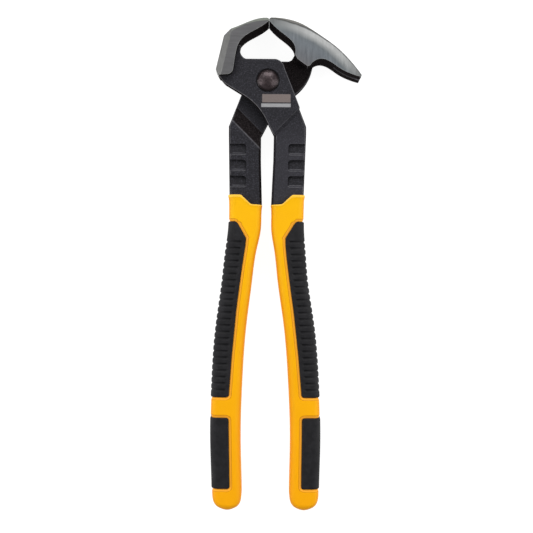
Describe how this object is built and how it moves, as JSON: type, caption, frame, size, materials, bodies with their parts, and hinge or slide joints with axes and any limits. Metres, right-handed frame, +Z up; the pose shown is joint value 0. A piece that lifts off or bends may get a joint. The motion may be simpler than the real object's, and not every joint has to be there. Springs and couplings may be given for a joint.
{
  "type": "fencing pliers",
  "caption": "Pincer pliers for wire fences with a square hammer poll on one jaw, a curved split claw on the other, and two-part soft grips.",
  "frame": {"origin": "middle of the whole closed tool's footprint, on the surface that it lies on", "axes": "+Y along the tool from the grips to the jaws, +Z up out of the surface through the thickness, +X from the hammer side to the claw side"},
  "size_m": [0.0788, 0.2596, 0.019],
  "materials": {
    "forged_steel": "black oxide forging, jaws ground bright",
    "rivet_steel": "dark bronze-brown, satin",
    "yellow_sleeve": "smooth satin moulding",
    "black_insert": "matte soft-touch, cross ribs on the upper insert"
  },
  "bodies": {
    "hammer_lever": {"hammer_half": "forged_steel", "pivot_rivet": "rivet_steel", "right_grip_sleeve": "yellow_sleeve", "right_ribbed_insert": "black_insert", "right_palm_insert": "black_insert"},
    "claw_lever": {"claw_half": "forged_steel", "left_grip_sleeve": "yellow_sleeve", "left_ribbed_insert": "black_insert", "left_palm_insert": "black_insert"}
  },
  "joints": [
    {"name": "pivot", "type": "hinge", "parent": "hammer_lever", "child": "claw_lever", "pos_m": [-0.0098, 0.09739, 0.0095], "axis": [0, 0, -1], "range_deg": [0, 30]}
  ]
}
